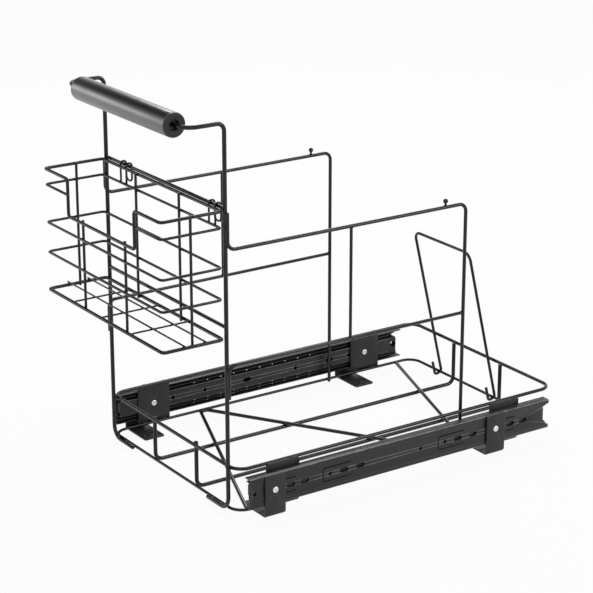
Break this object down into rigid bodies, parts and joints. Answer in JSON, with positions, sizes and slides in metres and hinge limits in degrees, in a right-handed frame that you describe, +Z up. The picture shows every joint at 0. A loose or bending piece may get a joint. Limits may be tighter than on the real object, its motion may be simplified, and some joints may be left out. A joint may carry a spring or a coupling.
{
  "type": "pull-out bin frame",
  "caption": "Black wire pull-out bin frame on ball-bearing slides with floor brackets, a tall front handle with grip, side rails, a tilting rear stop and a lift-off basket.",
  "frame": {"origin": "on the cabinet floor, in the middle of the floor screw holes", "axes": "+Z up, -Y the way the tray pulls out (front), +X to the right for someone who stands in front of it; the grip lies along X"},
  "size_m": [0.3024, 0.5235, 0.4431],
  "materials": {
    "wire_coat": "black powder coat, gloss",
    "sheet_coat": "black powder coat, satin",
    "slide_coat": "black electrocoat, satin",
    "bright_screws": "bright zinc",
    "cage_steel": "dark strip steel, greased, with bright balls",
    "grip_metal": "grey, satin, drawn along its length",
    "black_plastic": "black moulded plastic"
  },
  "bodies": {
    "slide_bases": {"left_slide_outer": "slide_coat", "right_slide_outer": "slide_coat", "front_left_floor_bracket": "sheet_coat", "front_right_floor_bracket": "sheet_coat", "rear_left_floor_bracket": "sheet_coat", "rear_right_floor_bracket": "sheet_coat", "left_bracket_screws": "bright_screws", "right_bracket_screws": "bright_screws", "left_rear_bumper": "black_plastic", "right_rear_bumper": "black_plastic"},
    "tray": {"handle_frame": "wire_coat", "upper_cross_bar": "wire_coat", "lower_cross_bar": "wire_coat", "lower_ring": "wire_coat", "upper_ring": "wire_coat", "left_floor_wire": "wire_coat", "right_floor_wire": "wire_coat", "floor_brace": "wire_coat", "left_top_rail": "wire_coat", "left_second_rail": "wire_coat", "left_middle_post": "wire_coat", "left_rail_knob": "wire_coat", "front_left_tab": "sheet_coat", "rear_left_tab": "sheet_coat", "left_tab_screws": "bright_screws", "left_slide_inner": "slide_coat", "left_front_bumper": "black_plastic", "right_top_rail": "wire_coat", "right_second_rail": "wire_coat", "right_middle_post": "wire_coat", "right_rail_knob": "wire_coat", "front_right_tab": "sheet_coat", "rear_right_tab": "sheet_coat", "right_tab_screws": "bright_screws", "right_slide_inner": "slide_coat", "right_front_bumper": "black_plastic"},
    "left_middle": {"left_slide_middle": "slide_coat"},
    "left_outer_cage": {"left_outer_ball_cage": "cage_steel"},
    "left_inner_cage": {"left_inner_ball_cage": "cage_steel"},
    "right_middle": {"right_slide_middle": "slide_coat"},
    "right_outer_cage": {"right_outer_ball_cage": "cage_steel"},
    "right_inner_cage": {"right_inner_ball_cage": "cage_steel"},
    "rear_stop": {"rear_stop": "wire_coat"},
    "basket": {"basket_rim": "wire_coat", "basket_second_ring": "wire_coat", "basket_third_ring": "wire_coat", "basket_fourth_ring": "wire_coat", "basket_bottom_ring": "wire_coat", "basket_front_uprights": "wire_coat", "basket_back_uprights": "wire_coat", "basket_side_uprights": "wire_coat", "basket_floor_long_wires": "wire_coat", "basket_floor_cross_wires": "wire_coat", "left_basket_hook": "wire_coat", "right_basket_hook": "wire_coat"},
    "grip": {"grip_tube": "grip_metal", "left_grip_plug": "black_plastic", "right_grip_plug": "black_plastic"}
  },
  "joints": [
    {"name": "tray_slide", "type": "slide", "parent": "slide_bases", "child": "tray", "axis": [0, -1, 0], "range_m": [0, 0.38]},
    {"name": "left_outer_cage_slide", "type": "slide", "parent": "slide_bases", "child": "left_outer_cage", "axis": [0, -1, 0], "range_m": [0, 0.095]},
    {"name": "left_middle_slide", "type": "slide", "parent": "slide_bases", "child": "left_middle", "axis": [0, -1, 0], "range_m": [0, 0.19]},
    {"name": "left_inner_cage_slide", "type": "slide", "parent": "slide_bases", "child": "left_inner_cage", "axis": [0, -1, 0], "range_m": [0, 0.285]},
    {"name": "right_outer_cage_slide", "type": "slide", "parent": "slide_bases", "child": "right_outer_cage", "axis": [0, -1, 0], "range_m": [0, 0.095]},
    {"name": "right_middle_slide", "type": "slide", "parent": "slide_bases", "child": "right_middle", "axis": [0, -1, 0], "range_m": [0, 0.19]},
    {"name": "right_inner_cage_slide", "type": "slide", "parent": "slide_bases", "child": "right_inner_cage", "axis": [0, -1, 0], "range_m": [0, 0.285]},
    {"name": "rear_stop_hinge", "type": "hinge", "parent": "tray", "child": "rear_stop", "pos_m": [0, 0.246, 0.007], "axis": [1, 0, 0], "range_deg": [-2.5, 76]},
    {"name": "basket_lift", "type": "slide", "parent": "tray", "child": "basket", "axis": [0, 0, 1], "range_m": [0, 0.035]},
    {"name": "grip_spin", "type": "hinge", "parent": "tray", "child": "grip", "pos_m": [0, -0.2385, 0.43], "axis": [1, 0, 0], "continuous": true}
  ],
  "couplings": [
    {"joint": "left_outer_cage_slide", "follows": "tray_slide", "ratio": 0.25},
    {"joint": "left_middle_slide", "follows": "tray_slide", "ratio": 0.5},
    {"joint": "left_inner_cage_slide", "follows": "tray_slide", "ratio": 0.75},
    {"joint": "right_outer_cage_slide", "follows": "tray_slide", "ratio": 0.25},
    {"joint": "right_middle_slide", "follows": "tray_slide", "ratio": 0.5},
    {"joint": "right_inner_cage_slide", "follows": "tray_slide", "ratio": 0.75}
  ]
}
